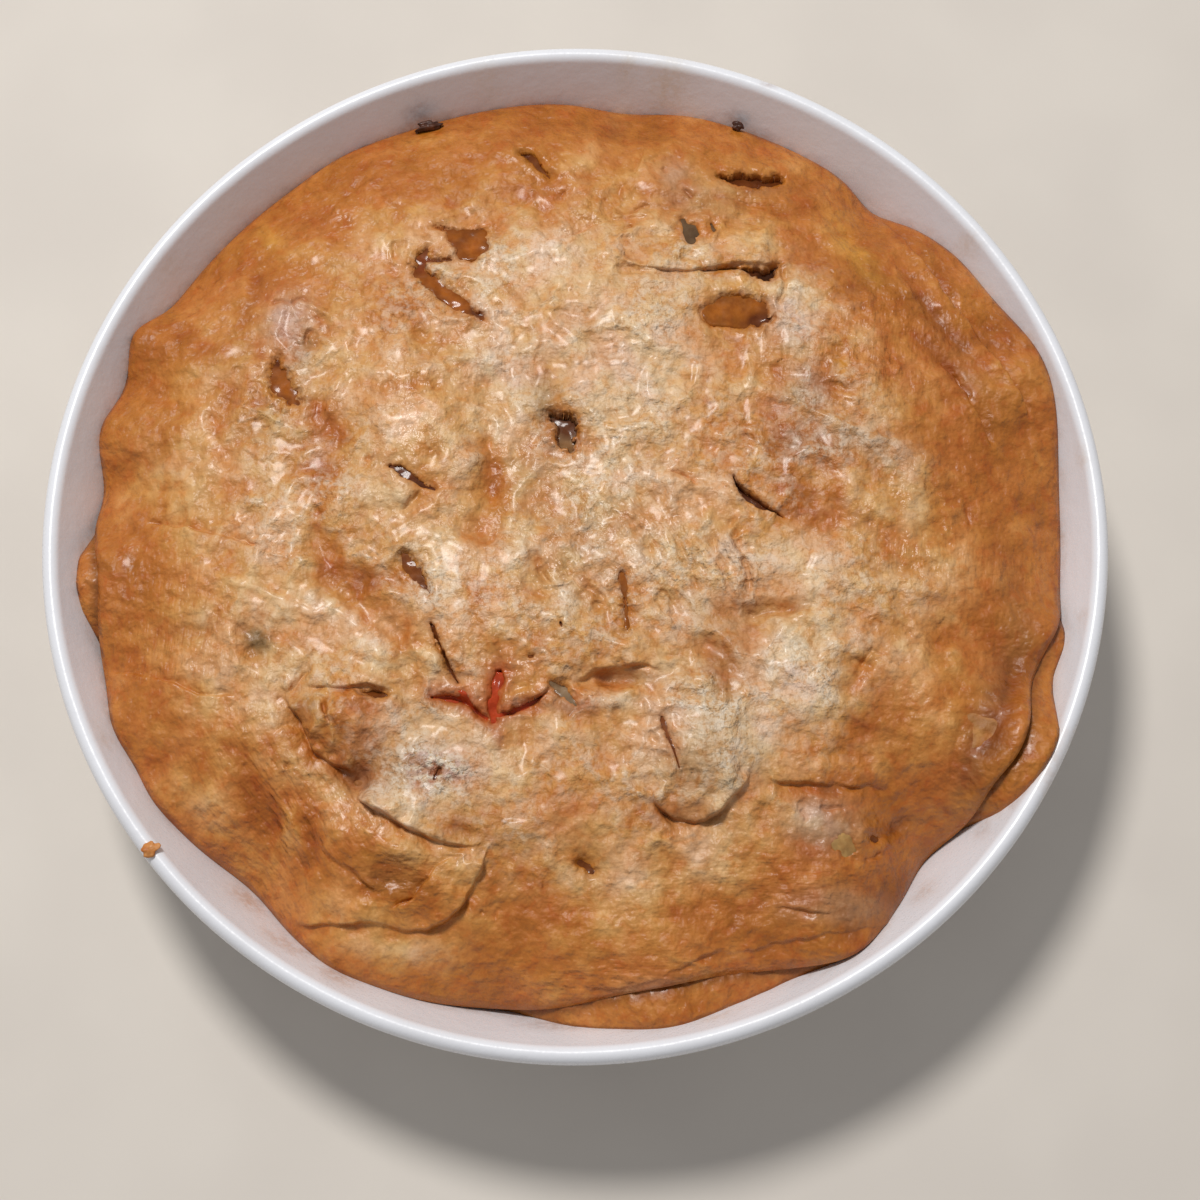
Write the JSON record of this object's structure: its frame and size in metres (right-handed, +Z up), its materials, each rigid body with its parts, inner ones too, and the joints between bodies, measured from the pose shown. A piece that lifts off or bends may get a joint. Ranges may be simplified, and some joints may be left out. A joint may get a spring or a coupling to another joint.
{
  "type": "beef pot pie in its dish",
  "caption": "Round beef pot pie with a lumpy browned pastry lid, vents showing gravy, carrot and potato, baked in a white dish with sloping sides.",
  "frame": {"origin": "middle of the dish's underside, in the plane it stands on", "axes": "+Z up through the middle of the pie; +Y towards the back, away from the viewer; +X to the viewer's right"},
  "size_m": [0.254, 0.254, 0.0602],
  "materials": {
    "white_glaze": "glossy white glaze",
    "rim_crust": "baked pastry, brown, dull",
    "baked_crust": "baked pastry, golden to pale, satin",
    "brown_gravy": "wet brown gravy",
    "carrot": "cooked, wet with gravy",
    "potato": "cooked, moist"
  },
  "bodies": {
    "root": {"dish": "white_glaze", "bottom_crust": "rim_crust", "top_crust": "baked_crust", "filling": "brown_gravy", "carrot": "carrot", "potato": "potato"}
  },
  "joints": []
}
